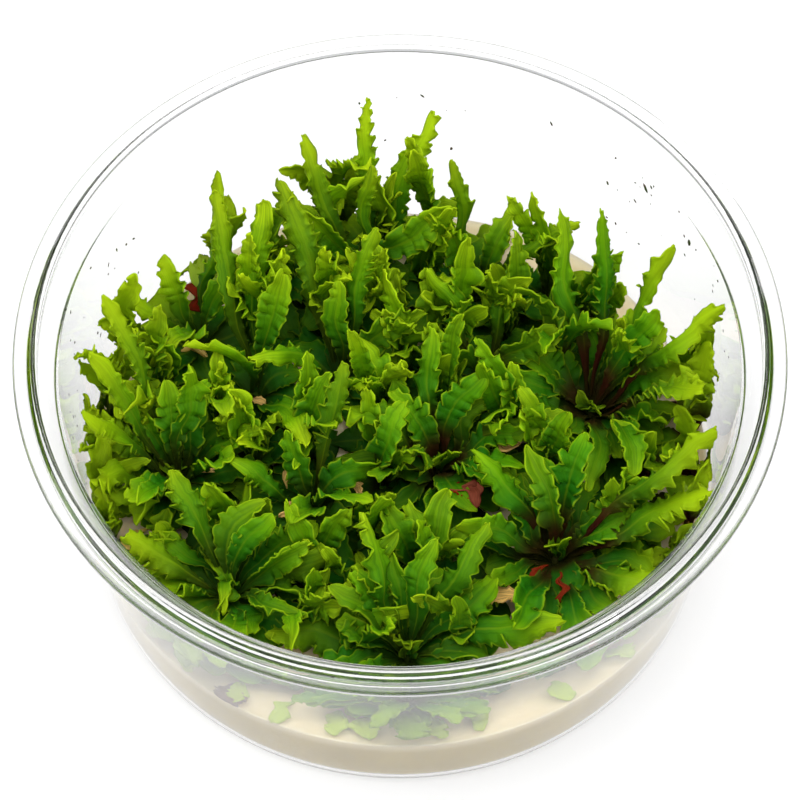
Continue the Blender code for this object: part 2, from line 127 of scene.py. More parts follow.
# Each plantlet: where it stands in mm, how red its crown is, how lime its leaves are, and its
# shorter leaves as (degrees round from +X, reach, rise, width, bow) in mm
PLANTLETS = {
    "back": ((-6, 28), 0.3, 1.0, (
        (12, 13, 19, 6.0, 2.0), (150, 9, 17, 5.0, 1.5), (-75, 8, 11, 5.0, 2.0))),
    "middle": ((-9, 12), 0.4, 0.7, (
        (20, 12, 14, 6.0, 2.0), (90, 6, 17, 5.0, 1.0))),
    "tall": ((-22, 10), 0.3, 0.95, (
        (60, 9, 20, 5.6, 1.0), (-160, 7, 17, 5.0, 2.0), (-110, 11, 10, 5.6, 2.0))),
    "back_left": ((-31, 19), 0.3, 0.95, (
        (125, 8, 13, 5.0, 1.5), (-110, 8, 12, 5.6, 2.0), (20, 8, 15, 5.0, 1.5))),
    "back_right": ((12, 28), 0.4, 0.9, (
        (160, 8, 18, 5.4, 1.5), (55, 9, 11, 5.0, 1.5), (-60, 9, 13, 5.6, 2.0),
        (-140, 7, 12, 5.0, 1.5))),
    "middle_right": ((13, 12), 0.6, 0.5, (
        (10, 11, 12, 6.0, 2.0), (-60, 9, 10, 5.6, 2.0), (-150, 8, 13, 5.6, 2.0))),
    "right": ((29, 7), 1.0, 0.4, (
        (150, 13, 8, 6.6, 1.0), (30, 10, 19, 5.4, 1.0), (-70, 10, 4, 6.0, 0.5),
        (-120, 8, 5, 5.0, 1.0))),
    "front_right": ((23, -18), 1.0, 0.35, (
        (75, 11, 17, 6.0, 1.5), (-50, 14, 3, 7.0, 0.5), (-100, 12, 2, 6.4, 0.5),
        (110, 8, 15, 5.0, 1.5))),
    "left": ((-33, -5), 0.5, 0.7, (
        (75, 8, 18, 5.6, 1.0), (-118, 11, 7, 6.8, 1.0), (100, 8, 14, 5.0, 1.5),
        (-60, 9, 4, 5.6, 1.0))),
    "middle_left": ((-13, -10), 0.4, 0.45, (
        (-30, 9, 12, 5.6, 2.0), (-100, 8, 12, 5.2, 1.5), (120, 7, 12, 5.0, 1.5),
        (20, 9, 8, 5.6, 2.0))),
    "centre": ((6, -3), 1.0, 0.4, (
        (55, 9, 15, 5.6, 1.5), (-20, 12, 9, 5.6, 2.0), (-70, 10, 7, 6.0, 1.5),
        (140, 8, 13, 5.6, 1.5))),
    "front": ((1, -34), 0.2, 0.5, (
        (80, 11, 16, 5.4, 1.0), (148, 12, 9, 6.0, 1.5), (26, 14, 9, 5.6, 1.5),
        (-100, 8, 0, 6.0, 0.5), (-40, 8, 0, 5.4, 0.5), (-150, 9, 0, 5.4, 0.5))),
    "front_left": ((-25, -24), 0.3, 0.55, (
        (75, 10, 12, 6.0, 2.0), (-35, 12, 1, 6.4, 0.5), (-95, 10, 1, 6.0, 0.5),
        (-160, 9, 3, 6.0, 0.5), (45, 9, 12, 5.0, 2.0))),
}
SHORTER_SLIMNESS = 0.76

# Plantlets whose crown is open to view, with how many leaves radiate from it, how far they
# reach and how far they rise in mm, and how red their stalks are
ROSETTES = {
    "right": (15, (9, 16), (4, 13), 1.0),
    "front_right": (20, (10, 18), (2, 12), 1.0),
    "centre": (12, (8, 13), (3, 12), 1.0),
    "front": (17, (9, 16), (2, 12), 0.35),
    "front_left": (15, (8, 15), (3, 12), 0.3),
    "left": (11, (8, 13), (5, 14), 0.6),
}

# Rings of leaves, as limits of the reach, the rise and the width in mm
UNDER_LEAVES = 9
UNDER_SIZES = ((6, 12), (0.3, 3), (4.6, 6.0))
YOUNG_LEAVES = 3
YOUNG_SIZES = ((1, 3), (3, 8), (1.4, 2.3))
SHOOT_LOW_SIZES = ((5, 9), (0.5, 4), (4.4, 6.0))
ROSETTE_WIDTHS = (3.0, 4.6)

# The mat: side shoots of the plantlets, spread evenly over the gel, in mm
SHOOT_SPACING = 7.4
SHOOT_TRIES = 5000
MAT_RADIUS = 44.5
BY_WALL = 36.0
NEAR_STRIP = -20.0
SHOOT_REACH = 15.0
CANOPY_NEAR = 27.0
CANOPY_GAIN = 13.5

# Side shoots, as (upright leaves, low leaves, how much more lime)
OPEN_SHOOT = (6, 3, 0.0)
WALL_SHOOT = (4, 2, 0.25)
NEAR_WALL_HEIGHT = 0.7

# Sectors of the wall that have a close row of shoots, as (from, to) in degrees
WALL_SECTORS = ((152, 206), (-26, 22))
WALL_STEP = 8.5

# Places that no shoot stands in, as (x, y, radius) in mm: the open crowns and the bare gel
OPEN_PLACES = (
    (30, 3, 9.0), (23, 6, 6.0), (24, -24, 9.5), (21, -17, 10.5), (7, -5, 8.5), (2, -40, 9.0),
    (-26, -28, 7.0), (-29, -10, 6.0), (36, -25, 8.0), (18, 38, 9.0), (30, 32, 8.0),
    (-36, 29, 9.5), (-27, -6, 6.0), (12, 1, 4.0), (14, -5, 3.5), (10, -13, 6.0), (9, -26, 5.0),
    (15, -29, 5.5), (-21, 7, 3.0), (-8, -10, 4.5), (-16, -13, 3.5),
)

# The lower leaves that cover the gel, dark from their deep green and the painted shade low in the
# mat, and where it is left bare, as (x, y, radius) in mm
GROUND_SPACING = 3.9
GROUND_TRIES = 4500
GROUND_MARGIN = 5.0
BARE_PLACES = (
    (18, 40, 8.0), (31, 33, 7.0), (-37, 29, 8.0), (37, -14, 4.0), (43, -9, 3.0), (30, -27, 4.0),
    (24, -28, 3.0), (-41, -14, 4.0), (12, -40, 6.0), (-12, -42, 4.0), (36, -30, 8.0),
    (-36, -30, 8.0),
)

# Leaves that lie out over the gel to the near wall, by plantlet, as (x, y) of the root and then
# (degrees round from +X, reach, rise, width, bow), in mm
NEAR_LEAVES = {
    "front": (
        ((-14, -35), (-120, 8.4, 0.6, 2.8, 0.5)), ((-8, -36), (-100, 8.0, 0.8, 3.4, 0.6)),
        ((-4, -37), (-94, 7.2, 0.5, 4.2, 0.5)), ((4, -37), (-74, 7.6, 0.8, 3.4, 0.6)),
        ((9, -35), (-72, 8.4, 0.6, 2.6, 0.5))),
    "front_left": (
        ((-21, -31), (-108, 8.0, 0.8, 3.0, 0.6)), ((-26, -27), (-122, 8.4, 1.2, 3.4, 0.8)),
        ((-30, -23), (-138, 7.4, 1.2, 3.2, 0.8))),
    "front_right": (
        ((20, -31), (-62, 8.2, 0.6, 3.2, 0.5)), ((27, -26), (-50, 8.2, 1.0, 3.4, 0.8)),
        ((32, -20), (-36, 7.6, 1.2, 3.4, 0.8))),
}

# Loose and old leaves, by plantlet, as (x, y, z) of the root, (degrees, reach, rise, width, bow)
# in mm and age, from 0 for green to 1 for dark red: some lie on the leaves under them, and some
# on the gel
LOOSE_LEAVES = {
    "left": (((-31, -5, 19.5), (0, 9, 0.3, 1.4, 0.2), 0.68),
             ((-37, -12, 15.5), (-140, 6, 0.3, 1.8, 0.3), 0.6)),
    "centre": (((5, -7, 19.5), (-32, 7, 1.6, 2.6, 1.4), 1.0),
               ((8, -7, 19.5), (-58, 6, 2.6, 2.6, 1.4), 0.95),
               ((11.5, 0, 21.5), (-14, 6, 0.5, 2.2, 0.3), 0.66)),
    "front_right": (((20.4, -25, 20.0), (-166, 9, 0.6, 2.6, 0.5), 0.65),
                    ((22, -20, 19.0), (-128, 6, 0.6, 1.5, 0.5), 1.0),
                    ((23.5, -21, 19.0), (-92, 5, 0.4, 1.4, 0.4), 1.0)),
    "middle_left": (((-9, -6, 19.0), (-40, 4, 0.6, 1.8, 0.3), 0.67),
                    ((-14, -10, 19.0), (-150, 4, 0.4, 1.5, 0.3), 0.67),
                    ((-17, -8, 19.0), (70, 3, 0.4, 1.2, 0.2), 0.63)),
    "front": (((11, -27.4, 20.0), (178, 7, 0.5, 1.9, 0.3), 0.62),
              ((-6, -27, 18.5), (150, 3, 0.6, 1.2, 0.3), 0.5)),
    "front_left": (((-22, -33, 14.0), (-112, 8, 0.3, 4.4, 0.5), 0.85),
                   ((-19, -23, 18.5), (40, 4, 0.6, 1.4, 0.3), 0.9)),
    "middle": (((-11, 3, 14.2), (5, 7, 0.8, 5.5, 0.5), 0.0),
               ((-6, 5, 14.2), (-60, 6, 0.8, 5.0, 0.5), 0.0)),
    "tall": (((-24, 8, 19.0), (-20, 3, 0.3, 1.5, 0.2), 0.66),
             ((-29, 16, 19.0), (200, 3, 3.0, 1.6, 0.2), 0.62)),
    "back_left": (((-30, 22, 19.5), (120, 5, 2.0, 2.4, 0.8), 1.0),
                  ((-29, 24, 14.0), (110, 7, 7.0, 4.6, 1.0), 0.15),
                  ((-36, 18, 14.0), (150, 6, 3.0, 3.0, 0.8), 0.35)),
    "right": (((31, 31, 14.0), (55, 7, 0.6, 2.4, 0.3), 0.2),
              ((24, 12, 18.5), (120, 6, 0.6, 1.5, 0.3), 0.64)),
}

LEAF_FACTS = ("along", "across", "tone", "redness", "olive", "age")
Finish = namedtuple("Finish", "tone redness olive age", defaults=(0.0, 0.0, 0.0))

# Leaf colours, and the runs of them from the root to the tip and from green to dead; the dark near
# the root is partly the leaf's own deeper green and partly painted shade
LIME_RUN = ((0.0, (0.050, 0.055, 0.004)), (0.16, (0.010, 0.075, 0.002)),
            (0.45, (0.042, 0.19, 0.001)), (0.75, (0.21, 0.43, 0.001)),
            (1.0, (0.52, 0.68, 0.008)))
DEEP_RUN = ((0.0, (0.035, 0.030, 0.004)), (0.2, (0.006, 0.060, 0.002)),
            (0.6, (0.018, 0.150, 0.002)), (0.88, (0.090, 0.30, 0.001)),
            (1.0, (0.23, 0.46, 0.002)))
AGE_RUN = ((0.1, (0.40, 0.50, 0.10)), (0.4, (0.66, 0.80, 0.06)), (0.65, (0.92, 0.62, 0.19)),
           (0.85, (0.26, 0.13, 0.08)), (1.0, (0.24, 0.020, 0.004)))
OLIVE = (0.13, 0.17, 0.004)
STREAK_GREEN = (0.004, 0.075, 0.003)
MOTTLE_GREEN = (0.018, 0.15, 0.004)
PALE_RIB = (0.20, 0.32, 0.005)
# Pale leaf margin, made brighter as a painted highlight of light through the crisped edge
MARGIN_TINT_AND_HIGHLIGHT = (0.55, 0.74, 0.012)
WALL_LIME = (0.42, 0.58, 0.006)
RED_BASE = (0.045, 0.006, 0.004)
DRIED_STREAK = (0.10, 0.022, 0.006)
# Painted shade: the deep green that leaves low in the mat are darkened towards
PAINTED_SHADE_GREEN = (0.002, 0.036, 0.002)
LIT_GREEN = (0.32, 0.68, 0.0)

# Colours of the gel, from clear to cloudy and at its top, and of the dried bits
GEL_BEIGE = (0.56, 0.42, 0.10)
GEL_BROWN = (0.48, 0.35, 0.07)
GEL_PALE = (0.88, 0.76, 0.54)
SPECK_OLIVE = (0.035, 0.06, 0.006)
SPECK_BROWN = (0.07, 0.045, 0.02)

# The camera's place and lens, the soft lights as (name, place, size, watts), the room's shade
# from below to above, and the floor
CAMERA_PLACE = (0.0, -0.231, 0.4222)
CAMERA_TILT = 30.64
LENS_LENGTH = 139.4
SENSOR_WIDTH = 36.0
LIGHTS = (("overhead", (-0.08, 0.08, 0.75), 0.8, 8.0),
          ("front_fill", (0.5, -0.6, 0.5), 0.4, 3.2),
          ("left_fill", (-0.7, -0.1, 0.35), 0.35, 1.6))
LIGHT_TARGET = Vector((0, 0, 0.02))
ROOM_RUN = ((0.0, (0.012, 0.013, 0.015)), (0.22, (0.02, 0.022, 0.025)),
            (0.42, (0.80, 0.81, 0.82)), (1.0, (0.95, 0.95, 0.95)))
FLOOR_REACH = 0.6
FLOOR_DROP = 0.2 * MM
FLOOR_GREY = 0.36
FLOOR_GLOW = 0.57


# Node helpers

def add_node(tree, kind, values=None, **settings):
    """A shader node with its settings and unlinked socket values."""
    made = tree.nodes.new(kind)
    for name, value in settings.items():
        setattr(made, name, value)
    for socket, value in (values or {}).items():
        made.inputs[socket].default_value = value
    return made


def new_material(name):
    """A node material, its tree and its Principled shader."""
    material = bpy.data.materials.new(name)
    material.use_nodes = True
    return material, material.node_tree, material.node_tree.nodes["Principled BSDF"]


def ramp(tree, source, stops):
    """A colour ramp on a value, from (position, colour) stops."""
    made = add_node(tree, "ShaderNodeValToRGB")
    steps = made.color_ramp.elements
    while len(steps) < len(stops):
        steps.new(0.5)
    for step, (position, colour) in zip(steps, stops):
        step.position = position
        step.color = (*colour, 1.0)
    tree.links.new(source, made.inputs["Fac"])
    return made.outputs["Color"]


def mixed(tree, factor, first, second):
    """Two colours mixed by a factor, each a socket or a plain value."""
    made = add_node(tree, "ShaderNodeMix", data_type="RGBA")
    for socket, value in ((0, factor), (6, first), (7, second)):
        if isinstance(value, bpy.types.NodeSocket):
            tree.links.new(value, made.inputs[socket])
        elif socket:
            made.inputs[socket].default_value = (*value, 1.0)
        else:
            made.inputs[socket].default_value = value
    return made.outputs[2]


def maths(tree, operation, first, second=0.0):
    """A maths node on sockets or plain values."""
    made = add_node(tree, "ShaderNodeMath", operation=operation)
    for socket, value in enumerate((first, second)):
        if isinstance(value, bpy.types.NodeSocket):
            tree.links.new(value, made.inputs[socket])
        else:
            made.inputs[socket].default_value = value
    return made.outputs[0]


def between(tree, value, low, high, low_gives=0.0, high_gives=1.0):
    """A value's smooth place between two limits."""
    made = add_node(tree, "ShaderNodeMapRange", interpolation_type="SMOOTHSTEP")
    tree.links.new(value, made.inputs["Value"])
    for socket, limit in zip(("From Min", "From Max", "To Min", "To Max"),
                             (low, high, low_gives, high_gives)):
        made.inputs[socket].default_value = limit
    return made.outputs["Result"]


def object_noise(tree, scale, detail=3.0):
    """Noise on the piece's own place, as a value."""
    place = add_node(tree, "ShaderNodeTexCoord")
    made = add_node(tree, "ShaderNodeTexNoise", {"Scale": scale, "Detail": detail})
    tree.links.new(place.outputs["Object"], made.inputs["Vector"])
    return made.outputs["Fac"]


def height_above_base(tree):
    """Height on the piece, in metres."""
    place = add_node(tree, "ShaderNodeTexCoord")
    split = add_node(tree, "ShaderNodeSeparateXYZ")
    tree.links.new(place.outputs["Object"], split.inputs[0])
    return split.outputs["Z"]


def distance_from_axis(tree):
    """Distance from the cup's upright axis, in metres."""
    place = add_node(tree, "ShaderNodeTexCoord")
    level = add_node(tree, "ShaderNodeVectorMath", {1: (1.0, 1.0, 0.0)}, operation="MULTIPLY")
    tree.links.new(place.outputs["Object"], level.inputs[0])
    reach = add_node(tree, "ShaderNodeVectorMath", operation="LENGTH")
    tree.links.new(level.outputs[0], reach.inputs[0])
    return reach.outputs["Value"]


def leaf_fact(tree, name):
    """One of the facts that each leaf carries at its vertices."""
    return add_node(tree, "ShaderNodeAttribute", attribute_name=name).outputs["Fac"]


def long_streaks(tree, across, along, tone):
    """Noise drawn out along a leaf, as its parallel veins are."""
    place = add_node(tree, "ShaderNodeCombineXYZ")
    for socket, source, stretch in (("X", across, 4.5), ("Y", along, 1.3), ("Z", tone, 40.0)):
        tree.links.new(maths(tree, "MULTIPLY", source, stretch), place.inputs[socket])
    made = add_node(tree, "ShaderNodeTexNoise", {"Scale": 1.0, "Detail": 2.0})
    tree.links.new(place.outputs[0], made.inputs["Vector"])
    return made.outputs["Fac"]


def bumped(tree, height, strength, distance, shader):
    """A bump from a height value on a shader's normal."""
    made = add_node(tree, "ShaderNodeBump", {"Strength": strength, "Distance": distance})
    tree.links.new(height, made.inputs["Height"])
    tree.links.new(made.outputs["Normal"], shader.inputs["Normal"])


# Materials

def green_colour(tree, along, across, tone):
    """Fresh green: dark at the base, partly its own deeper green and partly painted shade, lime at
    the tip, streaked, with a pale rib and a pale margin that is partly a painted highlight.
    """
    colour = mixed(tree, tone, ramp(tree, along, DEEP_RUN), ramp(tree, along, LIME_RUN))
    colour = mixed(tree, leaf_fact(tree, "olive"), colour, OLIVE)
    streaks = between(tree, long_streaks(tree, across, along, tone), 0.42, 0.62)
    colour = mixed(tree, maths(tree, "MULTIPLY", streaks, 0.35), colour, STREAK_GREEN)
    mottling = between(tree, object_noise(tree, 260.0), 0.35, 0.7)
    colour = mixed(tree, maths(tree, "MULTIPLY", mottling, 0.28), colour, MOTTLE_GREEN)
    off_rib = maths(tree, "ABSOLUTE", across)
    rib = between(tree, off_rib, 0.03, 0.13, 1.0, 0.0)
    rib = maths(tree, "MULTIPLY", rib, between(tree, along, 0.2, 0.95, 0.5, 0.15))
    colour = mixed(tree, rib, colour, PALE_RIB)
    # Margin towards the tip: partly the leaf's own pale edge, partly a painted highlight
    margin = between(tree, off_rib, 0.88, 1.0)
    margin = maths(tree, "MULTIPLY", margin, between(tree, along, 0.1, 0.6, 0.08, 0.32))
    return mixed(tree, margin, colour, MARGIN_TINT_AND_HIGHLIGHT)


def aged_colour(tree, colour, along, across, age):
    """A leaf's colour as it dies off: yellow, then tan with dried streaks, then dark red."""
    aged = ramp(tree, age, AGE_RUN)
    dried = between(tree, long_streaks(tree, across, along, age), 0.45, 0.65)
    dried = maths(tree, "MULTIPLY", dried, 0.6)
    dried = maths(tree, "MULTIPLY", dried, between(tree, age, 0.5, 0.7))
    aged = mixed(tree, dried, aged, DRIED_STREAK)
    return mixed(tree, between(tree, age, 0.0, 0.4), colour, aged)


def leaf_material():
    """Crisped leaf: green or aged, lime by the wall, red at some bases, and darkened low in the
    mat by painted shade.
    """
    material, tree, shader = new_material("crisped_leaf")
    along, across, tone, redness, age = (
        leaf_fact(tree, name) for name in ("along", "across", "tone", "redness", "age"))
    reach = distance_from_axis(tree)
    colour = green_colour(tree, along, across, tone)
    by_wall = between(tree, reach, 37.0 * MM, 45.0 * MM, 0.0, 0.7)
    colour = mixed(tree, maths(tree, "MULTIPLY", by_wall, along), colour, WALL_LIME)
    base = between(tree, along, 0.22, 0.58, 1.0, 0.0)
    colour = mixed(tree, maths(tree, "MULTIPLY", base, redness), colour, RED_BASE)
    colour = aged_colour(tree, colour, along, across, age)
    # Painted shade: leaves low in the mat, away from the wall and not yet old, are darkened
    # towards a deep green for the shadow among the plants
    low = between(tree, height_above_base(tree), 14.0 * MM, 26.0 * MM, 0.62, 0.0)
    low = maths(tree, "MULTIPLY", low, between(tree, reach, 33.0 * MM, 40.0 * MM, 1.0, 0.05))
    low = maths(tree, "MULTIPLY", low, between(tree, age, 0.3, 0.7, 1.0, 0.15))
    colour = mixed(tree, low, colour, PAINTED_SHADE_GREEN)
    tree.links.new(colour, shader.inputs["Base Color"])
    shader.inputs["Roughness"].default_value = 0.55
    shader.inputs["Specular IOR Level"].default_value = 0.06
    lit_through = add_node(tree, "ShaderNodeBsdfTranslucent")
    fresh = between(tree, age, 0.3, 0.6, 0.25, 0.0)
    tree.links.new(mixed(tree, fresh, colour, LIT_GREEN), lit_through.inputs["Color"])
    blend = add_node(tree, "ShaderNodeMixShader", {0: 0.40})
    tree.links.new(shader.outputs[0], blend.inputs[1])
    tree.links.new(lit_through.outputs[0], blend.inputs[2])
    tree.links.new(blend.outputs[0], tree.nodes["Material Output"].inputs["Surface"])
    veins = maths(tree, "SINE", maths(tree, "MULTIPLY", across, 34.0))
    relief = maths(tree, "ADD", maths(tree, "MULTIPLY", veins, 0.25), object_noise(tree, 1500.0))
    bumped(tree, relief, 0.35, 0.15 * MM, shader)
    return material


def gel_material():
    """Milky beige gel: it scatters light, and is paler at its top."""
    material, tree, shader = new_material("milky_gel")
    cloud = between(tree, object_noise(tree, 90.0), 0.3, 0.7)
    colour = mixed(tree, cloud, GEL_BEIGE, GEL_BROWN)
    high = between(tree, height_above_base(tree), 11.0 * MM, 14.2 * MM, 0.0, 0.7)
    colour = mixed(tree, high, colour, GEL_PALE)
    tree.links.new(colour, shader.inputs["Base Color"])
    shader.inputs["Roughness"].default_value = 0.28
    shader.inputs["Subsurface Weight"].default_value = 0.6
    shader.inputs["Subsurface Radius"].default_value = (0.9, 0.9, 0.7)
    shader.inputs["Subsurface Scale"].default_value = 4.0 * MM
    shader.inputs["IOR"].default_value = 1.34
    relief = maths(tree, "ADD", object_noise(tree, 420.0), object_noise(tree, 130.0))
    bumped(tree, relief, 0.5, 0.3 * MM, shader)
    return material


def cup_material():
    """Clear moulded plastic with a faint haze and fine scuffs."""
    material, tree, shader = new_material("clear_plastic")
    shader.inputs["Base Color"].default_value = (1.0, 1.0, 1.0, 1.0)
    shader.inputs["Transmission Weight"].default_value = 1.0
    shader.inputs["IOR"].default_value = 1.42
    scuffs = object_noise(tree, 700.0, 5.0)
    tree.links.new(between(tree, scuffs, 0.45, 0.75, 0.0, 0.04), shader.inputs["Roughness"])
    bumped(tree, object_noise(tree, 160.0), 0.05, 0.2 * MM, shader)
    body = add_node(tree, "ShaderNodeVolumeAbsorption",
                    {"Color": (0.30, 0.30, 0.30, 1.0), "Density": 60.0})
    tree.links.new(body.outputs[0], tree.nodes["Material Output"].inputs["Volume"])
    return material


# Turned pieces

def corner(centre_r, centre_z, radius, start, end, steps):
    """Points of a rounded corner on a turned outline, angles in degrees from +r."""
    angles = [math.radians(start + (end - start) * i / steps) for i in range(steps + 1)]
    return [(centre_r + radius * math.cos(a), centre_z + radius * math.sin(a)) for a in angles]


def turned(outline, sides):
    """Spin an outline of (radius, height) points about Z into a closed body."""
    bm = bmesh.new()
    points = [bm.verts.new((radius, 0.0, height)) for radius, height in outline]
    edges = [bm.edges.new(pair) for pair in zip(points, points[1:])]
    bmesh.ops.spin(bm, geom=points + edges, axis=(0, 0, 1), cent=(0, 0, 0),
                   steps=sides, angle=2 * math.pi, use_merge=True)
    bmesh.ops.remove_doubles(bm, verts=bm.verts[:], dist=0.001 * MM)
    bmesh.ops.recalc_face_normals(bm, faces=bm.faces[:])
    return bm


def piece(name, bm, material, nodes, sharp_degrees=None):
    """A finished piece that stands for one or more CAD nodes."""
    mesh = bpy.data.meshes.new(name)
    bm.to_mesh(mesh)
    bm.free()
    mesh.shade_smooth()
    if sharp_degrees:
        mesh.set_sharp_from_angle(angle=math.radians(sharp_degrees))
    mesh.materials.append(material)
    item = bpy.data.objects.new(name, mesh)
    bpy.context.collection.objects.link(item)
    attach(item, "root")
    if nodes:
        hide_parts(*nodes)


def wall_inner_radius(height):
    """Inside radius of the drafted wall at a height."""
    share = (height - BASE_CORNER) / (WALL_TOP_HEIGHT - BASE_CORNER)
    return WALL_FOOT_RADIUS + (WALL_TOP_RADIUS - WALL_FOOT_RADIUS) * share - CUP_WALL


def cup_outline():
    """Outline of the cup: up the outside, over the flange and bead, and down the inside."""
    ledge_top = WALL_TOP_HEIGHT + LEDGE_RISE
    flange_top = CUP_HEIGHT - FLANGE_DROP
    rim_outer = LEDGE_RADIUS + CUP_WALL
    edge_round = FLANGE_THICKNESS / 2
    bead = BEAD_WIDTH / 2
    outside = [(0.0, BASE_RISE), (20.0 * MM, BASE_RISE),
               (BASE_RING_RADIUS - 2.5 * MM, BASE_RISE - 0.05 * MM), (BASE_RING_RADIUS, 0.0)]
    outside += corner(WALL_FOOT_RADIUS - BASE_CORNER, BASE_CORNER, BASE_CORNER, -90, 0, 7)
    outside += [(WALL_TOP_RADIUS - 0.1 * MM, WALL_TOP_HEIGHT - CUP_WALL - 0.6 * MM),
                (WALL_TOP_RADIUS + 0.2 * MM, WALL_TOP_HEIGHT - CUP_WALL),
                (rim_outer - 0.3 * MM, ledge_top - CUP_WALL - 0.1 * MM),
                (rim_outer, ledge_top - CUP_WALL + 0.3 * MM),
                (rim_outer, flange_top - FLANGE_THICKNESS - 0.3 * MM),
                (rim_outer + 0.3 * MM, flange_top - FLANGE_THICKNESS)]
    outside += corner(FLANGE_RADIUS - edge_round, flange_top - edge_round, edge_round,
                      -90, 90, 6)
    outside += [(FLANGE_RADIUS - FLANGE_LIP, flange_top),
                (FLANGE_RADIUS - FLANGE_LIP - 0.25 * MM, flange_top - FLANGE_GROOVE),
                (rim_outer + bead + 0.5 * MM, flange_top - FLANGE_GROOVE),
                (rim_outer + bead, flange_top)]
    outside += corner(LEDGE_RADIUS + bead, CUP_HEIGHT - bead, bead, 30, 180, 6)
    inside = [(LEDGE_RADIUS, ledge_top + 0.4 * MM),
              (LEDGE_RADIUS - 0.3 * MM, ledge_top),
              (WALL_TOP_RADIUS - CUP_WALL + 0.4 * MM, WALL_TOP_HEIGHT + 0.25 * MM),
              (WALL_TOP_RADIUS - CUP_WALL, WALL_TOP_HEIGHT - 0.2 * MM)]
    inside += corner(WALL_FOOT_RADIUS - BASE_CORNER, BASE_CORNER, BASE_CORNER - CUP_WALL,
                     0, -90, 7)
    inside += [(0.0, CUP_WALL)]
    return outside + inside


def build_cup():
    """The clear cup."""
    piece("clear_cup", turned(cup_outline(), CUP_SIDES), cup_material(),
          ["culture_cup"], sharp_degrees=35)


def gel_edge_pull(angle):
    """How far the gel has drawn back from the wall, most at the far side."""
    far_side = max(0.0, math.sin(angle)) ** 2
    waves = 0.6 + 0.4 * math.sin(5 * angle + 0.8)
    return GEL_SHRINK * far_side * waves


def build_gel():
    """The cast gel, with an uneven top and the meniscus that climbs the wall."""
    floor = CUP_WALL + GAP
    side = BASE_CORNER - CUP_WALL - GAP
    edge = wall_inner_radius(GEL_TOP) - GAP
    outline = [(0.0, floor), (20 * MM, floor)]
    outline += corner(WALL_FOOT_RADIUS - BASE_CORNER, BASE_CORNER, side, -90, 0, 5)
    outline += [(edge - 0.3 * MM, GEL_TOP * 0.6), (edge - 0.02 * MM, GEL_TOP),
                (edge, GEL_TOP + GEL_MENISCUS), (edge - 0.5 * MM, GEL_TOP + 0.25 * MM)]
    inner = edge - GEL_MENISCUS_WIDTH
    outline += [(inner * (1 - i / GEL_RINGS), GEL_TOP) for i in range(GEL_RINGS + 1)]
    bm = turned(outline, GEL_SIDES)
    for vert in bm.verts:
        reach = vert.co.xy.length
        if vert.co.z > BASE_CORNER and reach > STEM_RADIUS:
            angle = math.atan2(vert.co.y, vert.co.x)
            vert.co.xy -= vert.co.xy.normalized() * gel_edge_pull(angle)
        if vert.co.z > GEL_TOP - 0.1 * MM and reach < edge - 0.1 * MM:
            place = vert.co * GEL_WAVES_PER_M
            vert.co.z += GEL_WAVES * noise.noise(place) + GEL_GRAIN * noise.noise(place * 3.1)
    piece("cast_gel", bm, gel_material(), ["nutrient_gel"])


def speck_material():
    """Dried bits of leaf: dark olive to brown."""
    material, tree, shader = new_material("dried_specks")
    patches = between(tree, object_noise(tree, 900.0), 0.4, 0.6)
    colour = mixed(tree, patches, SPECK_OLIVE, SPECK_BROWN)
    tree.links.new(colour, shader.inputs["Base Color"])
    shader.inputs["Roughness"].default_value = 0.7
    bumped(tree, object_noise(tree, 4000.0), 0.5, 0.05 * MM, shader)
    return material


def add_speck(bm, dice, degrees, height, long, wide):
    """A flat dried bit stuck to the inside of the wall."""
    turn = math.radians(degrees)
    reach = wall_inner_radius(height * MM)
    place = Matrix.Translation((reach * math.cos(turn), reach * math.sin(turn), height * MM))
    flat = Matrix.Diagonal((0.12 * MM, wide * MM, long * MM, 1.0))
    lean = Matrix.Rotation(dice.uniform(-0.9, 0.9), 4, "X")
    bmesh.ops.create_icosphere(bm, subdivisions=1, radius=0.5,
                               matrix=place @ Matrix.Rotation(turn, 4, "Z") @ lean @ flat)


def build_specks():
    """The dried bits on the cup's wall: two large ones at the right, and fine ones round it."""
    dice = random.Random("specks")
    bm = bmesh.new()
    for degrees, height, long, wide in LARGE_SPECKS:
        add_speck(bm, dice, degrees, height, long, wide)
    for low_turn, high_turn, count in SPECKLED_SECTORS:
        for _ in range(count):
            size = dice.uniform(0.15, 0.5)
            add_speck(bm, dice, dice.uniform(low_turn, high_turn), dice.uniform(24, 43),
                      size * dice.uniform(1.0, 2.2), size)
    piece("wall_specks", bm, speck_material(), ())


# Leaves

class Wander:
    """A smooth random value along a leaf."""

    def __init__(self, dice, knots):
        self.values = [dice.uniform(-1, 1) for _ in range(knots + 2)]
        self.knots = knots

    def at(self, share):
        """The value at a share of the leaf's length."""
        place = share * self.knots
        low = min(int(place), self.knots)
        part = place - low
        part = part * part * (3 - 2 * part)
        return self.values[low] * (1 - part) + self.values[low + 1] * part


def leaf_width_share(share, widest, stalk):
    """Half-width of a leaf along its length, as a share of its widest.

    A stalk of 0 opens from the root; one of 1 stays narrow for the first third.
    """
    opened = math.sin(min(share / widest, 1.0) * math.pi / 2) ** (1.1 + 1.7 * stalk)
    opening = STALK_WIDTH + (1 - STALK_WIDTH) * opened
    closing = (1.0 - max((share - widest) / (1 - widest), 0.0) ** 2.2) ** 0.65
    return max(opening * closing, TIP_WIDTH)


def smooth_point(points, share):
    """A point at a share of the way along a smooth curve through some points."""
    place = share * (len(points) - 1)
    i = min(int(place), len(points) - 2)
    part = place - i
    before = points[max(i - 1, 0)]
    start = points[i]
    end = points[i + 1]
    after = points[min(i + 2, len(points) - 1)]
    return 0.5 * ((2 * start) + (end - before) * part
                  + (2 * before - 5 * start + 4 * end - after) * part ** 2
                  + (3 * start - before - 3 * end + after) * part ** 3)


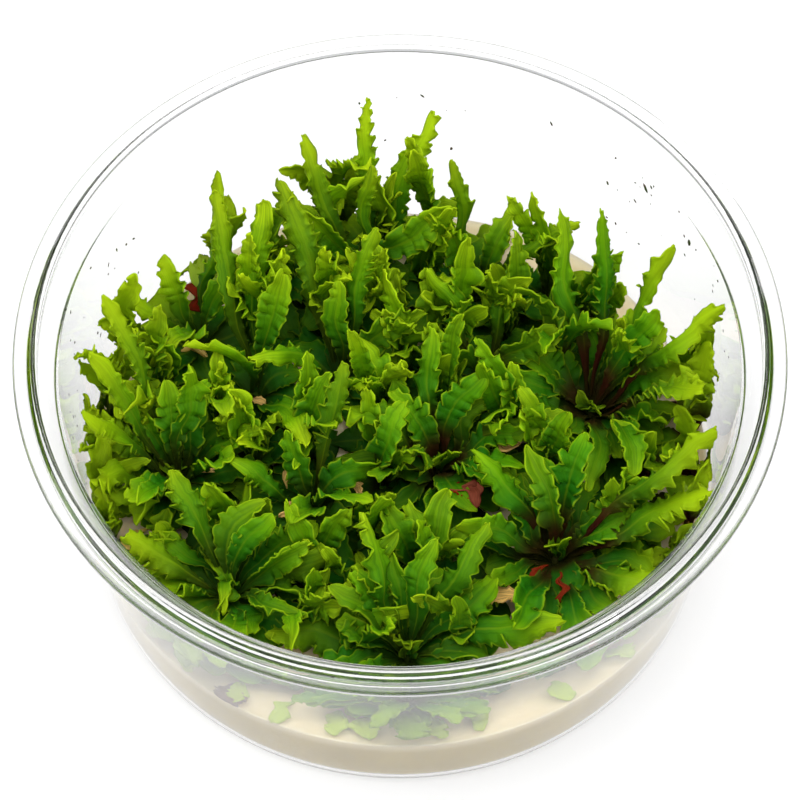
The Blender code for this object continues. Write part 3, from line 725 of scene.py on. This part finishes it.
def kept_inside(point, lowest):
    """Keep a leaf's point clear of the wall, over the gel and under the rim."""
    limit = wall_inner_radius(max(point.z, GEL_TOP)) - LEAF_TO_WALL
    reach = point.xy.length
    if reach > limit:
        point.xy *= limit / reach
    point.z = min(max(point.z, lowest), LEAF_CEILING)
    return point


def hooked(path, out, amount):
    """Bend the last part of a leaf's path outwards and down."""
    bent = []
    for i, point in enumerate(path):
        part = max(0.0, (i / (len(path) - 1) - 0.5) / 0.5)
        bent.append(point + (out - Vector((0, 0, 0.8))) * (amount * part ** 2.2))
    return bent


class LeafHabit:
    """How one leaf's margins wave and tooth, and how it folds, sways and rolls."""

    def __init__(self, dice, length, width, crisp, stalk):
        self.width = width
        self.crisp = crisp
        self.stalk = stalk
        self.lobes = max(2.5, length / (LOBE_PITCH * dice.uniform(0.75, 1.35)))
        self.teeth = max(5.0, length / (TOOTH_PITCH * dice.uniform(0.85, 1.25)))
        self.phases = (dice.uniform(0, math.tau), dice.uniform(0, math.tau))
        self.drift = (Wander(dice, 6), Wander(dice, 6))
        self.strength = (Wander(dice, 8), Wander(dice, 8))
        self.sway = Wander(dice, 3)
        self.roll = Wander(dice, 2)
        self.widest = dice.uniform(0.5, 0.7) + 0.08 * stalk
        self.fold = crisp * dice.uniform(-0.1, 0.6)

    def margin(self, share, hand):
        """Half-width, lift and forward lean of one margin at a share of the leaf's length."""
        grown = min(1.0, max(0.0, (share - 0.12) * 3.5))
        push = self.crisp * grown * (0.8 + 0.7 * self.strength[hand].at(share))
        drift = self.drift[hand].at(share)
        phase = math.tau * (self.lobes * share + 0.9 * drift) + self.phases[hand]
        tooth = math.sin(math.pi * self.teeth * share + 3.0 * drift + hand) ** 2
        lobe = 0.7 * math.sin(phase) + 0.3 * math.sin(1.7 * phase + 2.0)
        shape = leaf_width_share(share, self.widest, self.stalk)
        half = self.width / 2 * shape * (
            1 + LOBE_DEPTH * push * lobe + TOOTH_DEPTH * grown * (tooth - 0.5))
        crest = math.sin(phase + 1.1) + 0.5 * math.sin(2.3 * phase + self.phases[1 - hand])
        lift = self.width * shape ** 0.5 * push * (CREST_LIFT * crest + TOOTH_LIFT * tooth)
        lean = MARGIN_LEAN * self.width * push * (lobe + 0.3 * tooth)
        return half, lift, lean


def leaf_row(path, sides, habit, share):
    """One row of a leaf: its middle, its directions, its two margins, its fold and its rib."""
    ahead = smooth_point(path, min(share + 0.02, 1.0))
    behind = smooth_point(path, max(share - 0.02, 0.0))
    along = (ahead - behind).normalized()
    side = smooth_point(sides, share)
    side = (side - along * side.dot(along)).normalized()
    side = Matrix.Rotation(0.9 * habit.crisp * habit.roll.at(share) * share, 3, along) @ side
    sway = habit.sway.at(share) * MOST_SWAY * habit.crisp * share * (1 - share) * 4
    centre = smooth_point(path, share) + side * sway
    shape = leaf_width_share(share, habit.widest, habit.stalk)
    lift = habit.fold * habit.width / 2 * shape * min(1.0, share * 3)
    rib = RIB_DEPTH * (1 - share)
    axes = (side, along.cross(side), along)
    return centre, axes, (habit.margin(share, 0), habit.margin(share, 1)), lift, rib


def grow_blade(bm, path, sides, width, dice, finish, columns, crisp, stalk):
    """Add one crisped leaf to a bmesh, along a path of points with its width directions.

    A flat grid is moved into place row by row, and then given its thickness. The finish says
    how lime the leaf is, how red its base, how olive it is and how old.
    """
    length = sum((b - a).length for a, b in zip(path, path[1:]))
    rows = max(12, int(length / MM * LEAF_ROWS_PER_MM * (0.35 + 0.65 * min(1.0, crisp))))
    layers = [bm.verts.layers.float[name] for name in LEAF_FACTS]
    habit = LeafHabit(dice, length, width, crisp, stalk)
    made = bmesh.ops.create_grid(bm, x_segments=columns, y_segments=rows, size=0.5)
    leaf_rows = [leaf_row(path, sides, habit, i / rows) for i in range(rows + 1)]
    tone, redness, olive, age = finish
    tone = min(max(tone + dice.uniform(-0.28, 0.22), 0.0), 1.0)
    olive = max(0.0, olive + dice.uniform(-0.4, 0.3))
    for vert in made["verts"]:
        across = vert.co.x * 2
        share = vert.co.y + 0.5
        centre, (side, normal, ahead), margins, lift, rib = leaf_rows[round(share * rows)]
        half, wave, lean = margins[across > 0]
        off = abs(across)
        rise = lift * off ** 1.3 + wave * off ** 3.5 - rib * math.exp(-(across / RIB_WIDTH) ** 2)
        point = centre + side * (half * across) + normal * rise + ahead * (lean * off ** 3)
        clearance = LEAF_OVER_GEL if share > ROOT_SHARE else -ROOT_IN_GEL
        vert.co = kept_inside(point, GEL_TOP + clearance)
        for layer, value in zip(layers, (share, across, tone, redness, olive, age)):
            vert[layer] = value
    faces = list({face for vert in made["verts"] for face in vert.link_faces})
    for face in faces:
        face.normal_update()
    for vert in made["verts"]:
        vert.normal_update()
    facings = [vert.normal.copy() for vert in made["verts"]]
    bmesh.ops.extrude_face_region(bm, geom=faces, use_keep_orig=True)
    for vert, facing in zip(made["verts"], facings):
        vert.co -= facing * LEAF_THICKNESS


def new_leaves():
    """An empty bmesh whose vertices can carry the leaf facts."""
    bm = bmesh.new()
    for name in LEAF_FACTS:
        bm.verts.layers.float.new(name)
    return bm


def read_leaf(name, stem):
    """The path and the width directions of a CAD leaf, from its root to its tip."""
    bm = bmesh.new()
    bm.from_mesh(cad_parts[name].data)
    bmesh.ops.remove_doubles(bm, verts=bm.verts[:], dist=0.01 * MM)
    points = np.array([vert.co[:] for vert in bm.verts])
    bm.free()
    middle = points.mean(axis=0)
    chord = np.linalg.svd(points - middle)[2][0]
    order = np.argsort((points - middle) @ chord)
    points = points[order]
    if np.linalg.norm(points[0][:2] - stem) > np.linalg.norm(points[-1][:2] - stem):
        points = points[::-1]
    sections = [points[i:i + 4] for i in range(0, len(points) - 3, 4)]
    path = [Vector(section.mean(axis=0)) for section in sections]
    spans = [widest_span(section) for section in sections]
    sides = [Vector(span) for span in spans[1:-1]]
    for i in range(1, len(sides)):
        if sides[i].dot(sides[i - 1]) < 0:
            sides[i].negate()
    width = max(side.length for side in sides)
    sides = [sides[0]] + sides + [sides[-1]]
    return path, [side.normalized() for side in sides], width


def widest_span(section):
    """From one to the other of the two points of a section that are farthest apart."""
    pairs = [(a, b) for i, a in enumerate(section) for b in section[i + 1:]]
    first, last = max(pairs, key=lambda pair: np.linalg.norm(pair[1] - pair[0]))
    return last - first


def bowed_path(root, leaf, roll):
    """The path and the width directions of a leaf that leans out from its root."""
    degrees, reach, rise, width, bow = leaf
    turn = math.radians(degrees)
    out = Vector((math.cos(turn), math.sin(turn), 0.0))
    level = Vector((-math.sin(turn), math.cos(turn), 0.0))
    chord = (out * reach + Vector((0.0, 0.0, rise))) * MM
    crest = level.cross(chord).normalized() * (-2 * bow * MM)
    path = []
    sides = []
    for i in range(PATH_POINTS):
        share = i / (PATH_POINTS - 1)
        path.append(root + chord * share + crest * (2 * share * (1 - share)))
        along = (chord + crest * (2 - 4 * share)).normalized()
        sides.append(Matrix.Rotation(math.radians(roll) * min(1.0, 2 * share), 3, along) @ level)
    return path, sides, width * MM


def build_long_leaves(material):
    """Every long outer leaf, crisped, where its CAD solid is."""
    for name, (place, redness, tone, _) in PLANTLETS.items():
        stem = np.array(place) * MM
        leaves = sorted(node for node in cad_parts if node.startswith(name + "_leaf_"))
        for node in leaves:
            dice = random.Random(node)
            path, sides, width = read_leaf(node, stem)
            lean = path[-1] - path[0]
            steep = lean.z / lean.length
            out = Vector((lean.x, lean.y, 0.0)).normalized()
            path = hooked(path, out, dice.uniform(-0.3, 1.6) * MM * steep)
            slim = 0.72 - 0.28 * steep
            finish = Finish(tone + 0.1, redness, olive=0.1)
            bm = new_leaves()
            grow_blade(bm, path, sides, width * slim, dice, finish, LONG_LEAF_COLUMNS,
                       crisp=0.95 + 0.3 * steep, stalk=0.8)
            piece(node + "_blade", bm, material, [node])


def stem_point(place, height):
    """A point on a plantlet's stem."""
    return Vector((place[0] * MM, place[1] * MM, height))


def add_stem(bm, place, redness):
    """A short stem from the gel to the crown."""
    layers = [bm.verts.layers.float[name] for name in LEAF_FACTS]
    middle = stem_point(place, (STEM_FOOT + CROWN_TOP) / 2)
    made = bmesh.ops.create_cone(bm, cap_ends=True, segments=16, radius1=STEM_RADIUS,
                                 radius2=0.4 * STEM_RADIUS, depth=CROWN_TOP - STEM_FOOT,
                                 matrix=Matrix.Translation(middle))
    for vert in made["verts"]:
        for layer, value in zip(layers, (0.02, 0.5, *Finish(0.4, redness))):
            vert[layer] = value


def ring_of_leaves(dice, count, reach, rise, width):
    """Leaves set round a stem by the golden turn, between two limits of each size."""
    start = dice.uniform(0, 360)
    leaves = []
    for i in range(count):
        leaves.append((start + GOLDEN_TURN * i + dice.uniform(-14, 14), dice.uniform(*reach),
                       dice.uniform(*rise), dice.uniform(*width), dice.uniform(0.5, 2.4)))
    return leaves


def upright_leaves(dice, count, top, toward):
    """Narrow leaves that stand up from a shoot, most of them leaning one way."""
    leaves = []
    for i in range(count):
        degrees = toward + dice.uniform(-100, 100) if i % 3 else dice.uniform(0, 360)
        share = dice.uniform(0.5, 1.1)
        leaves.append((degrees, dice.uniform(1.0, 6.5) * share, top * share,
                       dice.uniform(2.8, 4.4), dice.uniform(0.3, 2.4)))
    return leaves


def canopy_height(y):
    """How high the mat's tips stand, in mm: higher towards the back."""
    back = 0.5 + 0.5 * math.tanh((y + 6) / 22)
    return CANOPY_NEAR + CANOPY_GAIN * back


def mat_reach(turn):
    """How far out the mat goes, in mm: to the wall, but short of it at the near side."""
    return min(MAT_RADIUS, 50.5 + 17.7 * min(0.0, math.sin(turn)))


def nearest_plantlet(x, y):
    """The nearest plantlet to a place, as its distance in mm and its name."""
    return min((math.hypot(x - at[0][0], y - at[0][1]), name) for name, at in PLANTLETS.items())


def place_in_mat(dice, margin=0.0):
    """A random place in the mat, in mm, kept in from its edge by a margin."""
    turn = dice.uniform(0, math.tau)
    reach = (mat_reach(turn) - margin) * math.sqrt(dice.random())
    return reach * math.cos(turn), reach * math.sin(turn)


def is_free(x, y, taken, spacing, kept_clear):
    """Whether a place is clear of the ones taken and of the round places kept clear, in mm."""
    return (all(math.hypot(x - u, y - v) >= spacing for u, v in taken)
            and all(math.hypot(x - u, y - v) >= radius for u, v, radius in kept_clear))


def mat_shoots():
    """Places of the side shoots by plantlet, in mm, spread evenly over the gel."""
    dice = random.Random("mat")
    shoots = {name: [] for name in PLANTLETS}
    taken = [plantlet[0] for plantlet in PLANTLETS.values()]
    for low_turn, high_turn in WALL_SECTORS:
        for i in range(int((high_turn - low_turn) / WALL_STEP)):
            turn = math.radians(low_turn + WALL_STEP * (i + dice.uniform(0.2, 0.8)))
            x, y = MAT_RADIUS * math.cos(turn), MAT_RADIUS * math.sin(turn)
            taken.append((x, y))
            shoots[nearest_plantlet(x, y)[1]].append((x, y))
    for _ in range(SHOOT_TRIES):
        x, y = place_in_mat(dice)
        if not is_free(x, y, taken, SHOOT_SPACING, OPEN_PLACES):
            continue
        distance, name = nearest_plantlet(x, y)
        if distance < SHOOT_REACH:
            taken.append((x, y))
            shoots[name].append((x, y))
    return shoots


def ground_leaves():
    """The lower leaves by plantlet: each a place in mm and a leaf that lies over the gel there."""
    dice = random.Random("ground")
    leaves = {name: [] for name in PLANTLETS}
    taken = []
    for _ in range(GROUND_TRIES):
        x, y = place_in_mat(dice, GROUND_MARGIN)
        if is_free(x, y, taken, GROUND_SPACING, BARE_PLACES):
            taken.append((x, y))
            leaf = (dice.uniform(0, 360), dice.uniform(5, 8), dice.uniform(0.2, 1.6),
                    dice.uniform(5.0, 6.5), dice.uniform(0.2, 1.0))
            leaves[nearest_plantlet(x, y)[1]].append(((x, y), leaf))
    return leaves


def add_tuft_leaf(bm, root, leaf, dice, finish, crisp, stalk):
    """Add one of a plantlet's shorter leaves, growing out from its root and hooked at its tip."""
    degrees, reach, rise, width, bow = leaf
    steep = rise / math.hypot(rise, reach)
    turn = math.radians(degrees)
    start = root + Vector((math.cos(turn), math.sin(turn), 0.0)) * (0.5 * STEM_RADIUS)
    roll = (180 - degrees) % 180 - 90 + dice.uniform(-40, 40)
    path, sides, width = bowed_path(start, leaf, steep ** 2 * roll)
    bend = math.radians(degrees + dice.uniform(-90, 90))
    aside = Vector((math.cos(bend), math.sin(bend), 0.0))
    hook = dice.uniform(*(STRONG_HOOK if dice.random() < HOOKED_SHARE else SLIGHT_HOOK))
    path = hooked(path, aside, steep * hook * MM)
    grow_blade(bm, path, sides, width, dice, finish, TUFT_LEAF_COLUMNS,
               crisp=crisp + 0.5 * steep, stalk=stalk)


def add_leaves(bm, root, leaves, dice, finish, crisp, stalk):
    """Add several shorter leaves that grow from one root and look alike."""
    for leaf in leaves:
        add_tuft_leaf(bm, root, leaf, dice, finish, crisp, stalk)


def grow_crown(bm, dice, name):
    """A plantlet's own leaves: those under it, its shorter ones and those of its open crown."""
    place, redness, tone, shorter = PLANTLETS[name]
    crown = stem_point(place, LOWEST_ROOT)
    under = ring_of_leaves(dice, UNDER_LEAVES, *UNDER_SIZES)
    add_leaves(bm, crown, under, dice, Finish(0.1, redness), crisp=0.3, stalk=0.0)
    for degrees, reach, rise, width, bow in shorter:
        root = crown + Vector((0, 0, ROOT_SPAN * min(1.0, rise / 20)))
        leaf = (degrees, reach, rise, SHORTER_SLIMNESS * width, bow)
        add_tuft_leaf(bm, root, leaf, dice, Finish(tone - 0.1, redness), crisp=0.6, stalk=0.7)
    if name in ROSETTES:
        count, reach, rise, stalk_redness = ROSETTES[name]
        rosette = ring_of_leaves(dice, count, reach, rise, ROSETTE_WIDTHS)
        finish = Finish(0.25, stalk_redness, olive=0.05)
        add_leaves(bm, crown, rosette, dice, finish, crisp=0.7, stalk=1.0)
        young = ring_of_leaves(dice, YOUNG_LEAVES, *YOUNG_SIZES)
        add_leaves(bm, crown, young, dice, Finish(0.7, 0.3, olive=0.3), crisp=0.5, stalk=0.9)


def grow_lower_leaves(bm, dice, name, ground):
    """A plantlet's leaves over the gel, those that lie out to the near wall, and loose ones."""
    redness = PLANTLETS[name][1]
    for place, leaf in ground:
        root = stem_point(place, GEL_TOP)
        add_tuft_leaf(bm, root, leaf, dice, Finish(0.0, 0.7 * redness), crisp=0.3, stalk=0.1)
    for place, leaf in NEAR_LEAVES.get(name, ()):
        root = stem_point(place, GEL_TOP)
        add_tuft_leaf(bm, root, leaf, dice, Finish(0.95, age=0.35), crisp=0.7, stalk=0.3)
    for (x, y, height), leaf, age in LOOSE_LEAVES.get(name, ()):
        root = stem_point((x, y), height * MM)
        add_tuft_leaf(bm, root, leaf, dice, Finish(0.5, age=age), crisp=1.0, stalk=0.3)


def grow_shoot(bm, dice, x, y, redness, tone):
    """A side shoot: narrow leaves up to the mat's top, and a few low ones round its foot."""
    root = stem_point((x, y), GEL_TOP)
    top = canopy_height(y) - GEL_TOP / MM
    toward = 90.0
    upright_count, low_count, lime = OPEN_SHOOT
    if math.hypot(x, y) > BY_WALL and y > NEAR_STRIP:
        toward = math.degrees(math.atan2(y, x))
        upright_count, low_count, lime = WALL_SHOOT
        if y < 0:
            top *= NEAR_WALL_HEIGHT
    upright = upright_leaves(dice, upright_count, top, toward)
    finish = Finish(tone + lime, redness, olive=0.1)
    add_leaves(bm, root, upright, dice, finish, crisp=0.55, stalk=0.7)
    low = ring_of_leaves(dice, low_count, *SHOOT_LOW_SIZES)
    add_leaves(bm, root, low, dice, Finish(0.0, redness), crisp=0.45, stalk=0.2)


def build_tufts(material):
    """Each plantlet: its stem, its crown, its lower leaves and the side shoots round it."""
    shoots = mat_shoots()
    ground = ground_leaves()
    for name, (place, redness, tone, _) in PLANTLETS.items():
        dice = random.Random(name)
        bm = new_leaves()
        add_stem(bm, place, redness)
        grow_crown(bm, dice, name)
        grow_lower_leaves(bm, dice, name, ground[name])
        for x, y in shoots[name]:
            grow_shoot(bm, dice, x, y, redness, tone)
        piece(name + "_tuft", bm, material, [name + "_plantlet"])


# Stage

def build_floor():
    """The plain pale floor."""
    bm = bmesh.new()
    bmesh.ops.create_grid(bm, x_segments=1, y_segments=1, size=FLOOR_REACH,
                          matrix=Matrix.Translation((0, 0, -FLOOR_DROP)))
    mesh = bpy.data.meshes.new("floor")
    bm.to_mesh(mesh)
    bm.free()
    material, _, shader = new_material("pale_floor")
    shader.inputs["Base Color"].default_value = (*[FLOOR_GREY] * 3, 1.0)
    shader.inputs["Emission Color"].default_value = (1.0, 1.0, 1.0, 1.0)
    shader.inputs["Emission Strength"].default_value = FLOOR_GLOW
    shader.inputs["Roughness"].default_value = 0.7
    mesh.materials.append(material)
    floor = bpy.data.objects.new("floor", mesh)
    bpy.context.collection.objects.link(floor)


def add_light(name, place, size, power):
    """A square soft light aimed at the cup."""
    lamp = bpy.data.lights.new(name, "AREA")
    lamp.size = size
    lamp.energy = power
    item = bpy.data.objects.new(name, lamp)
    item.location = place
    item.rotation_euler = (LIGHT_TARGET - Vector(place)).to_track_quat("-Z", "Y").to_euler()
    bpy.context.collection.objects.link(item)


def build_lights():
    """Soft overhead light, a fill from the front, and a bright even room."""
    for light in LIGHTS:
        add_light(*light)
    world = bpy.data.worlds.new("room")
    world.use_nodes = True
    tree = world.node_tree
    place = add_node(tree, "ShaderNodeTexCoord")
    split = add_node(tree, "ShaderNodeSeparateXYZ")
    tree.links.new(place.outputs["Generated"], split.inputs[0])
    shade = ramp(tree, split.outputs["Z"], ROOM_RUN)
    tree.links.new(shade, tree.nodes["Background"].inputs["Color"])
    tree.nodes["Background"].inputs["Strength"].default_value = 1.0
    bpy.context.scene.world = world


def build_camera():
    """The camera where the picture was taken from."""
    lens = bpy.data.cameras.new("camera")
    lens.lens = LENS_LENGTH
    lens.sensor_width = SENSOR_WIDTH
    lens.clip_start = 0.01
    item = bpy.data.objects.new("camera", lens)
    item.location = CAMERA_PLACE
    item.rotation_euler = (math.radians(CAMERA_TILT), 0.0, 0.0)
    bpy.context.collection.objects.link(item)
    bpy.context.scene.camera = item


bpy.context.scene.view_settings.view_transform = "Standard"
build_camera()
build_lights()
build_floor()
build_cup()
build_gel()
build_specks()
green = leaf_material()
build_long_leaves(green)
build_tufts(green)
